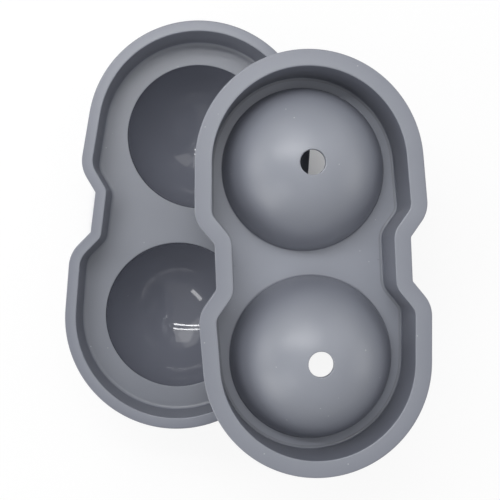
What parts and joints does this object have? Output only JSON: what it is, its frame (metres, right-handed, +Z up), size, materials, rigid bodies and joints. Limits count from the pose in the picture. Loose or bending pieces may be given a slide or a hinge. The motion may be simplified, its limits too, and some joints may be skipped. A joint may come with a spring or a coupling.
{
  "type": "ice ball mold",
  "caption": "Silicone ice ball mold in two halves: a skirted tray with round bowls, and a flanged tray with matching domes that each have a fill hole.",
  "frame": {"origin": "centre of the lower half's foot, on the table", "axes": "+Y along the lower half's long axis towards the back, +X to the right, where the upper half lies, +Z up"},
  "size_m": [0.1437, 0.1727, 0.082],
  "materials": {
    "silicone": "satin"
  },
  "bodies": {
    "lower_half": {"lower_half": "silicone"},
    "upper_half": {"upper_half": "silicone"}
  },
  "joints": [
    {"name": "upper_half_lift", "type": "slide", "parent": "lower_half", "child": "upper_half", "axis": [0, 0, 1], "range_m": [0, 0.08]}
  ]
}
